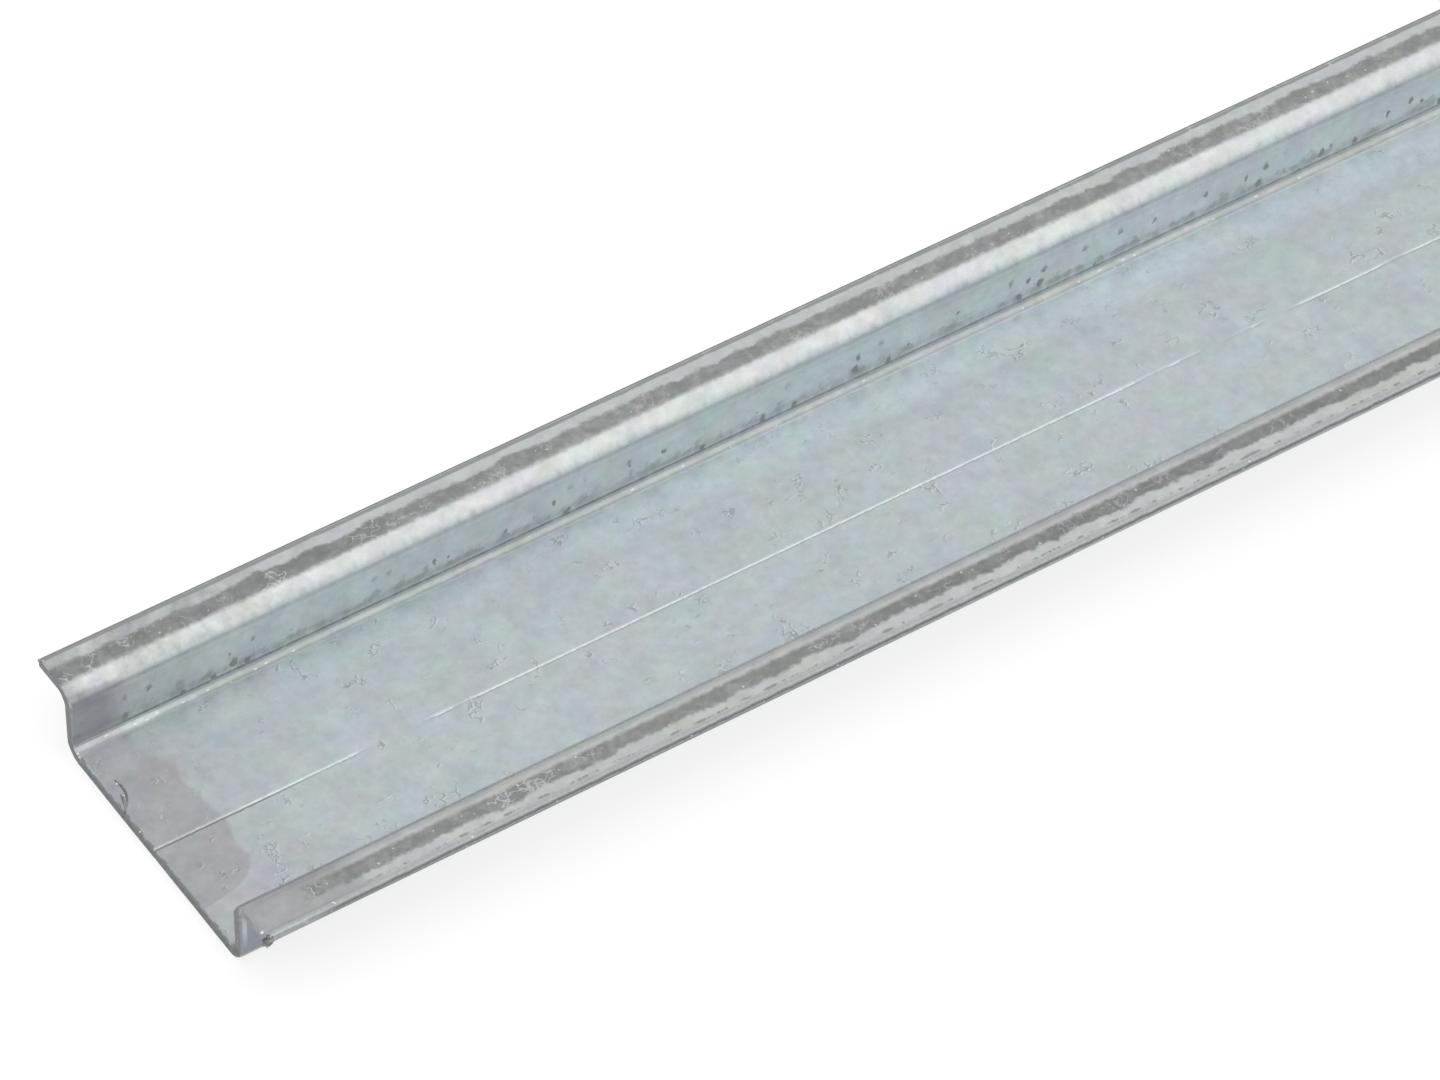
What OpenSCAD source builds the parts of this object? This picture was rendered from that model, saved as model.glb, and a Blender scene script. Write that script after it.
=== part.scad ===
// Top-hat mounting rail for switchgear, roll-formed from one strip of zinc-plated steel.
// Millimetres. The rail lies along X with its channel facing up: the web's underside is on
// Z = 0, both flanges are at the top, and the origin is in the middle of the web's underside.

/* [Stock] */
// Length that the rail is cut to
rail_length = 1000; // [50:1:2000]
// Thickness of the strip
strip_thickness = 1; // [0.8:0.05:1.2]

/* [Section] */
// Width over both flanges, where devices clip on
rail_width = 35; // [34:0.1:40]
// Width of the channel over the outer faces of its walls
channel_width = 27; // [22:0.1:28]
// Height from the web's underside to the top of the flanges
rail_height = 7.5; // [6:0.1:15]

/* [Bends] */
// Inside radius of the two bends between web and walls
web_bend_radius = 0.8; // [0.3:0.05:1.2]
// Inside radius of the two bends between walls and flanges
flange_bend_radius = 1.1; // [0.3:0.05:1.2]

/* [Slit edges] */
// Radius that the slitting rolls over on the upper edge of a flange
rolled_edge_radius = 0.3; // [0.1:0.05:0.4]
// Radius left on the lower edge of a flange
lower_edge_radius = 0.15; // [0.05:0.05:0.3]

/* [Centre line] */
// Width of the line that is scored along the middle of the web for marking out holes
score_width = 0.3; // [0.2:0.05:0.6]
// Depth of that line
score_depth = 0.08; // [0.04:0.01:0.1]

/* [Hidden] */

zinc_grey = [0.72, 0.75, 0.76];
// Sides of a full circle
curve_sides = 64;
// How far a cutting shape reaches past what it cuts
overcut = 1;

// Middles of the bend arcs, on the +Y side
web_bend_centre = [
    channel_width / 2 - strip_thickness - web_bend_radius,
    strip_thickness + web_bend_radius
];
flange_bend_centre = [
    channel_width / 2 + flange_bend_radius,
    rail_height - strip_thickness - flange_bend_radius
];
// Radius of the round tool whose tip leaves a line of that width and depth
score_tool_radius = (pow(score_width / 2, 2) + pow(score_depth, 2)) / (2 * score_depth);

// The strip where it turns through one right angle, from `start` degrees on
module bend(inside_radius, start) {
    outside_radius = inside_radius + strip_thickness;
    rotate(start)
        intersection() {
            difference() {
                circle(r = outside_radius, $fn = curve_sides);
                circle(r = inside_radius, $fn = curve_sides);
            }
            square(outside_radius + overcut);
        }
}

// What a round edge takes off a square corner at the origin that points to +X and +Y
module edge_waste(radius) {
    translate([-radius, -radius])
        difference() {
            square(radius + overcut);
            circle(r = radius, $fn = curve_sides);
        }
}

// Flat part of one flange, with its slit outer edge
module flange_section() {
    bottom = rail_height - strip_thickness;
    difference() {
        translate([flange_bend_centre[0], bottom])
            square([rail_width / 2 - flange_bend_centre[0], strip_thickness]);
        translate([rail_width / 2, rail_height])
            edge_waste(rolled_edge_radius);
        translate([rail_width / 2, bottom])
            mirror([0, 1])
                edge_waste(lower_edge_radius);
    }
}

// Straight part of one channel wall, between its two bends
module wall_section() {
    translate([channel_width / 2 - strip_thickness, web_bend_centre[1]])
        square([strip_thickness, flange_bend_centre[1] - web_bend_centre[1]]);
}

// Web from its middle to the bend, with its half of the scored line
module half_web_section() {
    difference() {
        square([web_bend_centre[0], strip_thickness]);
        translate([0, strip_thickness - score_depth + score_tool_radius])
            circle(r = score_tool_radius, $fn = curve_sides);
    }
}

// Half of the rail's section, drawn with Y across and Z up
module half_section() {
    half_web_section();
    translate(web_bend_centre)
        bend(web_bend_radius, -90);
    wall_section();
    translate(flange_bend_centre)
        bend(flange_bend_radius, 90);
    flange_section();
}

module rail() {
    color(zinc_grey)
        rotate([90, 0, 90])
            linear_extrude(height = rail_length, center = true)
                union() {
                    half_section();
                    mirror([1, 0])
                        half_section();
                }
}

rail();
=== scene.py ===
import math

import bpy
import numpy as np
from bpy.props import FloatProperty, FloatVectorProperty, IntProperty, PointerProperty
from mathutils import Matrix, Vector


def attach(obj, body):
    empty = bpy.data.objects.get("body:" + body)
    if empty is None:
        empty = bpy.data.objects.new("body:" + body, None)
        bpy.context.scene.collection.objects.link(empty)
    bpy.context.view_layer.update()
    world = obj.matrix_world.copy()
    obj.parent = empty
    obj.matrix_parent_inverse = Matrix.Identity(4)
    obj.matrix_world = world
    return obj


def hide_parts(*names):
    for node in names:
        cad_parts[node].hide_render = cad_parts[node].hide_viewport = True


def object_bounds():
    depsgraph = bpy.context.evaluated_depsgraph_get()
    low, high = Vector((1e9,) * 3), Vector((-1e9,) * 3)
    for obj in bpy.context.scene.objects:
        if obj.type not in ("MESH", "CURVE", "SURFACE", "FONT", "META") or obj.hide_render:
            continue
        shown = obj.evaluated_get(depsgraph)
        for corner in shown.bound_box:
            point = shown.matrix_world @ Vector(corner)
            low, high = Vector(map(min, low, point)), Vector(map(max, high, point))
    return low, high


bl_info = {
    "name": "Top-hat rail",
    "version": (1, 0, 0),
    "blender": (4, 5, 0),
    "location": "View3D > Sidebar > Rail",
    "description": "Dresses a roll-formed, zinc-plated mounting rail and its studio",
    "category": "Object",
}

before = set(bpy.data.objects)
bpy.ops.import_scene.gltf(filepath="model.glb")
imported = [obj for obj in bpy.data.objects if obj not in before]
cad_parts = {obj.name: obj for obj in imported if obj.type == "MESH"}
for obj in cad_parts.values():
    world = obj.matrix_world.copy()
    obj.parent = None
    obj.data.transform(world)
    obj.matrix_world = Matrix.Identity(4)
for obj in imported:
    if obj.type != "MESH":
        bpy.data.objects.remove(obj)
CAD_LOW, CAD_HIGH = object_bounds()

MM = 0.001
LENGTH = CAD_HIGH.x - CAD_LOW.x
WIDTH = CAD_HIGH.y - CAD_LOW.y
HEIGHT = CAD_HIGH.z - CAD_LOW.z

# Where the scored line fades out, as (from, to) in millimetres from the rail's first end
SCORE_BREAKS = ((18.9, 26.3), (28.0, 29.9), (95.2, 98.6), (99.7, 107.1), (107.7, 112.0))
# Past this many millimetres the line breaks up at random
SCORE_BREAKS_END = 120.0

# The sliver beside the first end, in millimetres: where it is rooted across the web, and its two
# edges as (middle, end, thickness at the root), each measured in from the end and across
SLIVER_ROOT = 4.58
SLIVER_EDGES = (((1.75, 6.05, 0.0), (1.17, 8.04, 0.0), 0.4), ((0.62, 5.2, 0.0), (0.78, 6.4, 0.0), 0.35))
# What the roll forming notes on the mesh: the places for its map, and how torn scraps are coloured
ALONG, AROUND, TORN = "along", "around", "torn"
GREENISH, GLINTING = 1.0, 2.0
# Crumbs at the first end, as (in from the end, across, up, radius) in millimetres and their colour; the
# bright ones carry painted glints
CRUMBS = (
    (0.08, -16.86, 7.4, 0.14, GLINTING), (0.1, -17.0, 6.5, 0.1, GLINTING), (1.08, 7.55, 1.02, 0.1, GLINTING),
    (0.93, 6.16, 1.02, 0.09, GLINTING), (0.1, 11.98, 1.1, 0.12, GLINTING), (0.06, 2.2, 1.0, 0.08, GLINTING),
    (0.16, 16.95, 7.5, 0.07, GLINTING), (0.02, 17.33, 7.3, 0.16, GREENISH),
)
# The map that the surface is unrolled on, and the strips that the length is folded into
SURFACE_MAP = "OFBake"
MAP_ROWS = 3
WHITE, DUST = (1.0, 1.0, 1.0), (0.86, 0.83, 0.78)
# Which way the softbox hangs from what the camera aims at
TOWARDS_SOFTBOX = (0.3, -0.42, 0.8)


# ---------------------------------------------------------------- properties


def size(name, millimetres, description):
    """A length that a user may change, given in millimetres."""
    return FloatProperty(
        name=name, description=description, default=millimetres * MM, min=0.0,
        subtype="DISTANCE", unit="LENGTH", precision=5,
    )


def colour(name, rgb, description):
    return FloatVectorProperty(
        name=name, description=description, default=rgb, size=3, min=0.0, max=1.0,
        subtype="COLOR",
    )


def share(name, value, description):
    return FloatProperty(
        name=name, description=description, default=value, min=0.0, max=1.0,
        subtype="FACTOR",
    )


def angle(name, degrees, description):
    return FloatProperty(
        name=name, description=description, default=math.radians(degrees), subtype="ANGLE",
    )


def titled(group):
    """A property group's names by the titles that its sockets have in the forming tree."""
    return {name.replace("_", " ").title(): name for name in group.__annotations__}


class RailSection(bpy.types.PropertyGroup):
    """The strip's cross-section."""

    strip_thickness: size("Strip Thickness", 1.0, "Thickness of the steel strip")
    channel_width: size("Channel Width", 27.0, "Width over the outer faces of the walls")
    web_bend: size("Web Bend", 0.8, "Inside radius of the bends at the web")
    flange_bend: size("Flange Bend", 1.1, "Inside radius of the bends at the flanges")
    rolled_edge: size("Rolled Edge", 0.3, "Radius of a flange's upper slit edge")
    lower_edge: size("Lower Edge", 0.15, "Radius of a flange's lower slit edge")
    score_width: size("Score Width", 0.3, "Width of the line scored along the web")
    score_depth: size("Score Depth", 0.08, "Depth of the line scored along the web")


class RailRelief(bpy.types.PropertyGroup):
    """What rolling and shearing leave on the strip."""

    rings: IntProperty(
        name="Rings", description="Cross-sections along the rail", default=580, min=50,
    )
    crowding: FloatProperty(
        name="Crowding", description="How much closer the rings lie towards the ends",
        default=1.75, min=1.0, max=3.0,
    )
    waviness: size("Waviness", 0.02, "Depth of the shallow waves in the rolled faces")
    wave_length: size("Wave Length", 7.0, "Length of those waves")
    end_break: size("End Break", 0.09, "How far the shear turns the cut edges over")
    end_break_reach: size("End Break Reach", 0.35, "How far that reaches in from the end")
    burr: size("Burr", 0.58, "Radius of the burr at a flange tip")
    sliver_thickness: size("Sliver Thickness", 0.20, "Thickness of the curled sliver's edge")


class RailFinish(bpy.types.PropertyGroup):
    """Zinc plating, burnishing and cut steel."""

    channel_zinc: colour("Channel Zinc", (0.428, 0.476, 0.496), "Passivated zinc on the web")
    # The walls' zinc is painted lighter than the web's, as painted light
    lit_wall_zinc: colour("Lit Wall Zinc", (0.545, 0.585, 0.595), "Passivated zinc on the walls")
    flange_zinc: colour("Flange Zinc", (0.460, 0.480, 0.478), "Zinc on the flanges")
    # The outer faces' zinc is painted dark as shade under the flanges, and its streak is a painted
    # reflection
    shaded_outer_zinc: colour("Shaded Outer Zinc", (0.290, 0.300, 0.345), "Zinc on the walls' outer faces")
    outer_reflection: colour("Outer Reflection", (0.450, 0.495, 0.550), "A bright streak on them by the cut")
    end_zinc: colour("End Zinc", (0.392, 0.402, 0.420), "Zinc where the shear clamped it")
    burnish: colour("Burnish", (0.255, 0.268, 0.263), "Stripes that the rolls rubbed dark")
    grime: colour("Grime", (0.180, 0.190, 0.180), "Specks and smears of roller grease")
    # Bright zinc for flecks, also used for painted highlights and glints
    score: colour("Score", (0.760, 0.780, 0.780), "Fresh zinc in the scored line")
    cut_steel: colour("Cut Steel", (0.355, 0.370, 0.380), "Bare sheared edges")
    # Also the colour of the painted shade low on the web's cut face
    cut_shade: colour("Cut Shade", (0.185, 0.200, 0.212), "Steel that the shear smeared dark")
    scrap: colour("Scrap", (0.190, 0.197, 0.185), "The burr and the sliver")
    roughness: share("Roughness", 0.30, "Roughness of the plating")
    metallic: share("Metallic", 0.75, "How much of the dull plating shines as metal")
    stripe_inner: size("Stripe Inner Edge", 14.68, "Distance of a stripe's inner edge from the middle")
    stripe_outer: size("Stripe Outer Edge", 16.07, "Distance of a stripe's outer edge from the middle")


class Studio(bpy.types.PropertyGroup):
    """Camera, floor and lights."""

    lens: FloatProperty(
        name="Lens", description="Focal length on a 36 mm sensor", default=215.6, min=10.0,
        subtype="DISTANCE_CAMERA",
    )
    aim_in: size("Aim In", 56.16, "How far in from the first end the camera aims")
    aim_aside: size("Aim Aside", 3.74, "How far off the middle line the camera aims")
    distance: size("Distance", 706.8, "Distance of the camera from where it aims")
    azimuth: angle("Azimuth", 33.716, "Turn of the view from +Y towards +X")
    elevation: angle("Elevation", 46.848, "How steeply the camera looks down")
    roll: angle("Roll", 0.589, "Turn of the camera about its own axis")
    softbox_width: size("Softbox Width", 2600.0, "Side of the square softbox")
    softbox_distance: size("Softbox Distance", 1250.0, "How far off the softbox hangs")
    softbox_glow: FloatProperty(
        name="Softbox Glow", description="Brightness of the softbox beside white",
        default=0.5, min=0.0,
    )
    fill: FloatProperty(
        name="Fill", description="Strength of the light from all round", default=1.0, min=0.0,
    )
    floor_glow: share("Floor Glow", 0.75, "Share of the floor's white that shadows spare")


# ---------------------------------------------------------------- node sheets


def as_node(operation):
    """A Python operator and its mirrored form, which both make a Math node."""

    def plain(self, other):
        return self.sheet.math(operation, self, other)

    def mirrored(self, other):
        return self.sheet.math(operation, other, self)

    return plain, mirrored


class Value:
    """A node's output, which sums, products and comparisons are written with."""

    __add__, __radd__ = as_node("ADD")
    __sub__, __rsub__ = as_node("SUBTRACT")
    __mul__, __rmul__ = as_node("MULTIPLY")
    __truediv__, __rtruediv__ = as_node("DIVIDE")
    __lt__, __gt__ = as_node("LESS_THAN")

    def __init__(self, sheet, socket):
        self.sheet = sheet
        self.socket = socket

    def __abs__(self):
        return self.sheet.math("ABSOLUTE", self)

    def ramp(self, start, end, low=0.0, high=1.0):
        """low before start and high after end, with a smooth step between; start may be the larger."""
        inputs = {"Value": self, "From Min": start, "From Max": end, "To Min": low, "To Max": high}
        return self.sheet.value("ShaderNodeMapRange", inputs, interpolation_type="SMOOTHSTEP")

    def between(self, off, on):
        """A mask turned into numbers: off where it is 0 and on where it is 1."""
        return self.ramp(0.0, 1.0, off, on)


class Sheet:
    """Adds nodes to one tree, joins them as they are made and sets them out in columns."""

    COLUMN, ROW, ROWS = 220, 190, 8

    def __init__(self, tree):
        self.tree = tree
        self.count = 0

    def node(self, kind, inputs=None, **settings):
        made = self.tree.nodes.new(kind)
        column, row = divmod(self.count, self.ROWS)
        made.location = (column * self.COLUMN, -row * self.ROW)
        self.count += 1
        for name, value in settings.items():
            setattr(made, name, value)
        for key, value in (inputs or {}).items():
            self.feed(made.inputs[key], value)
        return made

    def value(self, kind, inputs=None, output=0, **settings):
        """One output of a new node."""
        return Value(self, self.node(kind, inputs, **settings).outputs[output])

    def feed(self, socket, value):
        """Joins an output to an input, or writes a plain value in it; a colour gains its alpha."""
        if isinstance(value, Value):
            value = value.socket
        if isinstance(value, bpy.types.NodeSocket):
            self.tree.links.new(value, socket)
        else:
            socket.default_value = (*value, 1.0) if socket.type == "RGBA" else value

    def math(self, operation, *values, clamp=False):
        inputs = dict(enumerate(values))
        return self.value("ShaderNodeMath", inputs, operation=operation, use_clamp=clamp)

    def vector(self, operation, *values):
        """A Vector Math node's result; SCALE takes its factor last, and LENGTH gives a number."""
        inputs = dict(enumerate(values))
        if operation == "SCALE":
            inputs = {0: values[0], "Scale": values[1]}
        output = "Value" if operation == "LENGTH" else "Vector"
        return self.value("ShaderNodeVectorMath", inputs, output, operation=operation)

    def split(self, vector):
        return [Value(self, part) for part in self.node("ShaderNodeSeparateXYZ", {0: vector}).outputs]

    def join(self, x=0.0, y=0.0, z=0.0):
        return self.value("ShaderNodeCombineXYZ", {0: x, 1: y, 2: z})

    def most(self, first, *others):
        """The largest of some numbers."""
        for other in others:
            first = self.math("MAXIMUM", first, other)
        return first

    def noise(self, vector, scale, detail=2.0, roughness=0.5, output=0):
        inputs = {"Vector": vector, "Scale": scale, "Detail": detail, "Roughness": roughness}
        return self.value("ShaderNodeTexNoise", inputs, output)

    def mix(self, factor, first, second):
        """A blend of two colours."""
        return self.value("ShaderNodeMix", {0: factor, 6: first, 7: second}, 2, data_type="RGBA")

    def tint(self, base, factor):
        """A colour made lighter or darker by a number."""
        return self.vector("SCALE", base, factor)

    def curls(self, place, per_mm, width):
        """Thin curling lines, which lie where a noise crosses its middle."""
        return abs(self.noise(place, per_mm) - 0.5).ramp(width, width * 0.4)

    def geometry(self, kind, output=0, **inputs):
        """One output of a geometry node, whose inputs are named with _ for each space."""
        inputs = {name.replace("_", " "): value for name, value in inputs.items()}
        return self.value("GeometryNode" + kind, inputs, output)

    def outputs(self, node):
        """A node's outputs by their names."""
        return {socket.name: Value(self, socket) for socket in node.outputs}

    def gives(self, **results):
        """The finished group, with what it puts out."""
        self.node("NodeGroupOutput", results)
        return self.tree


def new_group(name, kind, inputs, outputs):
    """A node group's sheet and its inputs by name; each is given as its default or as its type."""
    tree = bpy.data.node_groups.new(name, kind)
    for label, given in inputs.items():
        number = "Int" if isinstance(given, int) else "Float"
        socket_type = "NodeSocket" + (given if isinstance(given, str) else number)
        socket = tree.interface.new_socket(label, in_out="INPUT", socket_type=socket_type)
        if not isinstance(given, str):
            socket.default_value = given
    for label, given in outputs.items():
        tree.interface.new_socket(label, in_out="OUTPUT", socket_type="NodeSocket" + given)
    sheet = Sheet(tree)
    return sheet, sheet.outputs(sheet.node("NodeGroupInput"))


def new_sheet(name):
    """A new material and its empty sheet."""
    material = bpy.data.materials.new(name)
    material.use_nodes = True
    material.node_tree.nodes.clear()
    return material, Sheet(material.node_tree)


# ---------------------------------------------------------------- section


def arc(centre, radius, start, end, steps):
    """Points along an arc in the section, its ends included; angles are in degrees."""
    points = []
    for step in range(steps + 1):
        turn = math.radians(start + (end - start) * step / steps)
        points.append((centre[0] + radius * math.cos(turn), centre[1] + radius * math.sin(turn)))
    return points


def with_flats_divided(points, longest, hold):
    """The closed outline with its flats divided, and held flat by a point near each of their ends."""
    divided = []
    for here, after in zip(points, points[1:] + points[:1]):
        side = math.dist(here, after)
        stops = [0.0]
        if side > 4 * hold:
            parts = math.ceil((side - 2 * hold) / longest)
            stops += [hold / side + (1 - 2 * hold / side) * part / parts for part in range(parts + 1)]
        for along in stops:
            divided.append(tuple(a + (b - a) * along for a, b in zip(here, after)))
    return divided


def half_outline(section):
    """The +Y half of the section, from the underside's middle round to the scored line's bottom."""
    thickness = section.strip_thickness
    wall = section.channel_width / 2
    web_bend = (wall - thickness - section.web_bend, thickness + section.web_bend)
    flange_bend = (wall + section.flange_bend, HEIGHT - thickness - section.flange_bend)
    lower = section.lower_edge
    upper = section.rolled_edge
    tip = WIDTH / 2
    half_score = section.score_width / 2
    tool_radius = (half_score**2 + section.score_depth**2) / (2 * section.score_depth)
    tool = (0.0, thickness - section.score_depth + tool_radius)
    tool_turn = math.degrees(math.asin(half_score / tool_radius))
    return [
        (0.0, 0.0),
        *arc(web_bend, section.web_bend + thickness, -90, 0, 7),
        *arc(flange_bend, section.flange_bend, 180, 90, 6),
        *arc((tip - lower, HEIGHT - thickness + lower), lower, -90, 0, 2),
        *arc((tip - upper, HEIGHT - upper), upper, 0, 90, 4),
        *arc(flange_bend, section.flange_bend + thickness, 90, 180, 10),
        *arc(web_bend, section.web_bend, 0, -90, 7),
        *arc(tool, tool_radius, tool_turn - 90, -90, 2),
    ]


def section_outline(section):
    """The whole closed section as (y, z), counter-clockwise."""
    half = half_outline(section)
    other = [(-y, z) for y, z in reversed(half[1:-1])]
    return with_flats_divided(half + other, longest=3.2 * MM, hold=0.1 * MM)


# ---------------------------------------------------------------- roll forming


def crowded_path(sheet, half_length, rings, crowding):
    """A straight path along X whose points lie closer together towards its two ends."""
    line = sheet.geometry("CurvePrimitiveLine", Start=(-1.0, 0.0, 0.0), End=(1.0, 0.0, 0.0))
    points = sheet.geometry("ResampleCurve", Curve=line, Count=rings)
    at = sheet.split(sheet.geometry("InputPosition"))[0]
    inwards = sheet.math("SUBTRACT", 1.0, abs(at), clamp=True)
    outwards = 1.0 - sheet.math("POWER", inwards, crowding)
    x = sheet.math("SIGN", at) * outwards * half_length
    return sheet.geometry("SetPosition", Geometry=points, Position=sheet.join(x))


def remembered(sheet, geometry, name, value):
    """The geometry with a number kept on its points."""
    inputs = {"Geometry": geometry, "Name": name, "Value": value}
    return sheet.value("GeometryNodeStoreNamedAttribute", inputs, data_type="FLOAT", domain="POINT")


def score_break(sheet, x):
    """1 where the scored line fades out and 0 where it shows, from x in metres."""
    start = (x + LENGTH / 2) * (1 / MM)
    faded = 0.0
    for low, high in SCORE_BREAKS:
        inside = start.ramp(low - 0.3, low + 0.3) * start.ramp(high + 0.3, high - 0.3)
        faded = sheet.most(faded, inside)
    wandering = sheet.noise(sheet.join(start * 0.03), 1.0, 3.0)
    by_chance = wandering.ramp(0.56, 0.58) * start.ramp(SCORE_BREAKS_END, SCORE_BREAKS_END + 1.0)
    return sheet.most(faded, by_chance)


def forming_tree(plated, sheared):
    """Geometry nodes that roll a section out to a rail and give it its shear marks."""
    numbers = ("Length", "Width", "Web Top", "Score Width", *titled(RailRelief))
    sheet, given = new_group(
        "Roll Forming", "GeometryNodeTree",
        {"Section": "Geometry", **dict.fromkeys(numbers, 0.0), "Rings": 600}, {"Rail": "Geometry"},
    )
    half_length = given["Length"] * 0.5
    half_width = given["Width"] * 0.5

    path = crowded_path(sheet, half_length, given["Rings"], given["Crowding"])
    path = remembered(sheet, path, ALONG, sheet.split(sheet.geometry("InputPosition"))[0])
    section = sheet.geometry("MeshToCurve", Mesh=given["Section"])
    section = remembered(sheet, section, AROUND, sheet.geometry("SplineParameter", "Length"))
    rolled = sheet.geometry("CurveToMesh", Curve=path, Profile_Curve=section, Fill_Caps=True)

    position = sheet.geometry("InputPosition")
    x, y, z = sheet.split(position)
    sideways = sheet.vector("MULTIPLY", sheet.geometry("InputNormal"), (0.0, 1.0, 1.0))
    sideways = sheet.vector("NORMALIZE", sideways)
    from_end = half_length - abs(x)

    # Shallow waves, which only ever lie below the drawn surface
    stretched = sheet.vector("MULTIPLY", position, (0.4, 1.0, 1.0))
    waves = sheet.noise(stretched, 1.0 / given["Wave Length"], 1.0) * given["Waviness"]

    # The shear draws the cut edges over, more in some places than in others
    near_cut = sheet.math("SUBTRACT", 1.0, from_end / given["End Break Reach"], clamp=True)
    ragged = sheet.noise(position, 1.3 / MM, 3.0).ramp(0.3, 0.7, 0.25, 1.3)
    inset = waves + near_cut * near_cut * ragged * given["End Break"]
    offset = sheet.vector("SCALE", sideways, inset * -1.0)

    # The scored line is rubbed shut where it fades out
    in_line = (abs(y) < given["Score Width"] * 0.49) * (z > given["Web Top"] * 0.5)
    lift = (given["Web Top"] - z) * score_break(sheet, x) * in_line
    offset = sheet.vector("ADD", offset, sheet.join(0.0, 0.0, lift))
    worked = sheet.geometry("SetPosition", Geometry=rolled, Offset=offset)

    # A sliver rooted in the cut edge that curls over the web: a thick outer edge and a thin inner one
    end_x = half_length * -1.0
    round_section = sheet.geometry(
        "CurvePrimitiveCircle", Resolution=8, Radius=given["Sliver Thickness"] * 0.5,
    )
    taper = sheet.geometry("SplineParameter", "Factor")
    scraps = []
    for middle, end, root_share in SLIVER_EDGES:
        middle, end = ([value * MM for value in point] for point in (middle, end))
        bow = sheet.geometry(
            "CurveQuadraticBezier", Resolution=22, Start=(0.0, SLIVER_ROOT * MM, 0.0), Middle=middle,
            End=end,
        )
        swell = sheet.math("SINE", sheet.math("POWER", taper, 1.6) * math.pi)
        swell = swell * (1.0 - root_share) + root_share
        edge = sheet.geometry(
            "CurveToMesh", Curve=bow, Profile_Curve=round_section, Scale=swell, Fill_Caps=True,
        )
        scraps.append((edge, (end_x, 0.0, given["Web Top"] + 0.03 * MM), GREENISH))

    # The burr that the shear left hanging from a flange tip
    lump = sheet.geometry("MeshIcoSphere", Radius=given["Burr"], Subdivisions=4)
    lumpy = sheet.noise(position, 4.2 / MM, 3.0, 0.65)
    squashed = sheet.vector("MULTIPLY", position, (0.85, 0.62, 1.1))
    squashed = sheet.vector("SCALE", squashed, lumpy.ramp(0.3, 0.7, 0.62, 1.25))
    lump = sheet.geometry("SetPosition", Geometry=lump, Position=squashed)
    lump_at = (end_x + 0.26 * MM, 0.16 * MM - half_width, HEIGHT - 0.66 * MM)
    scraps.append((lump, lump_at, GREENISH))

    # Crumbs that the shear pressed into the edges, the bright ones coloured as painted glints
    for at_x, at_y, at_z, radius, kind in CRUMBS:
        crumb = sheet.geometry("MeshIcoSphere", Radius=radius * MM, Subdivisions=2)
        scraps.append((crumb, (end_x + at_x * MM, at_y * MM, at_z * MM), kind))

    joined = sheet.node("GeometryNodeJoinGeometry")
    for scrap, at, kind in scraps:
        scrap = sheet.geometry("Transform", Geometry=scrap, Translation=sheet.join(*at))
        sheet.feed(joined.inputs[0], remembered(sheet, scrap, TORN, kind))
    sheet.feed(joined.inputs[0], worked)
    smooth = sheet.geometry("SetShadeSmooth", Geometry=joined.outputs[0])
    real = sheet.geometry("RealizeInstances", Geometry=smooth)
    coated = sheet.geometry("SetMaterial", Geometry=real, Material=plated)
    tip_reach, cut_reach = 0.25 * MM, 0.01 * MM
    on_tip = abs(y) > half_width - tip_reach
    on_cut = from_end < cut_reach
    torn = sheet.value("GeometryNodeInputNamedAttribute", {"Name": TORN}, data_type="FLOAT")
    bare = sheet.most(on_tip, on_cut, torn)
    cut = sheet.geometry("SetMaterial", Geometry=coated, Selection=bare, Material=sheared)
    return sheet.gives(Rail=cut)


def read(items, name, kind, width=1):
    """The same value of every item, as an array."""
    values = np.empty(len(items) * width, kind)
    items.foreach_get(name, values)
    return values


def unroll(mesh):
    """Gives the surface its map: the sides unrolled in rows, and the cut faces below them."""
    vertex = read(mesh.loops, "vertex_index", np.int32)
    starts = read(mesh.polygons, "loop_start", np.int32)
    totals = read(mesh.polygons, "loop_total", np.int32)
    face = np.repeat(np.arange(len(totals)), totals)
    x, y, z = read(mesh.vertices, "co", np.float32, 3).reshape(-1, 3)[vertex].T
    along = read(mesh.attributes[ALONG].data, "value", np.float32)[vertex]
    around = read(mesh.attributes[AROUND].data, "value", np.float32)
    margin, seam, cap_band, cap_width, cap_lift = 0.01, 1.002, 0.1, 0.4, 0.005
    girth = around.max() * seam
    around = around[vertex]

    # The last side of the section runs on to its start
    lowest = np.minimum.reduceat(around, starts)[face]
    highest = np.maximum.reduceat(around, starts)[face]
    wraps = highest - lowest > girth / 2
    around = np.where(wraps & (around < girth / 2), around + girth, around)

    middle = (np.add.reduceat(along, starts) / totals)[face]
    row = np.clip(((middle / LENGTH + 0.5) * MAP_ROWS).astype(int), 0, MAP_ROWS - 1)
    u = (along / LENGTH + 0.5) * MAP_ROWS - row
    row_height = (1 - cap_band) / MAP_ROWS
    v = cap_band + (row + margin + (1 - 2 * margin) * around / girth) * row_height

    spread = np.maximum.reduceat(along, starts)[face] - np.minimum.reduceat(along, starts)[face]
    cap = (totals[face] > 4) | (spread == 0)
    cap_start = np.where(x > 0, 0.55, 0.05)
    cap_scale = cap_width / WIDTH
    u = np.where(cap, cap_start + (y + WIDTH / 2) * cap_scale, margin + (1 - 2 * margin) * u)
    v = np.where(cap, cap_lift + z * cap_scale, v)
    layer = mesh.uv_layers.new(name=SURFACE_MAP)
    layer.data.foreach_set("uv", np.stack([u, v], 1).astype(np.float32).ravel())


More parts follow.
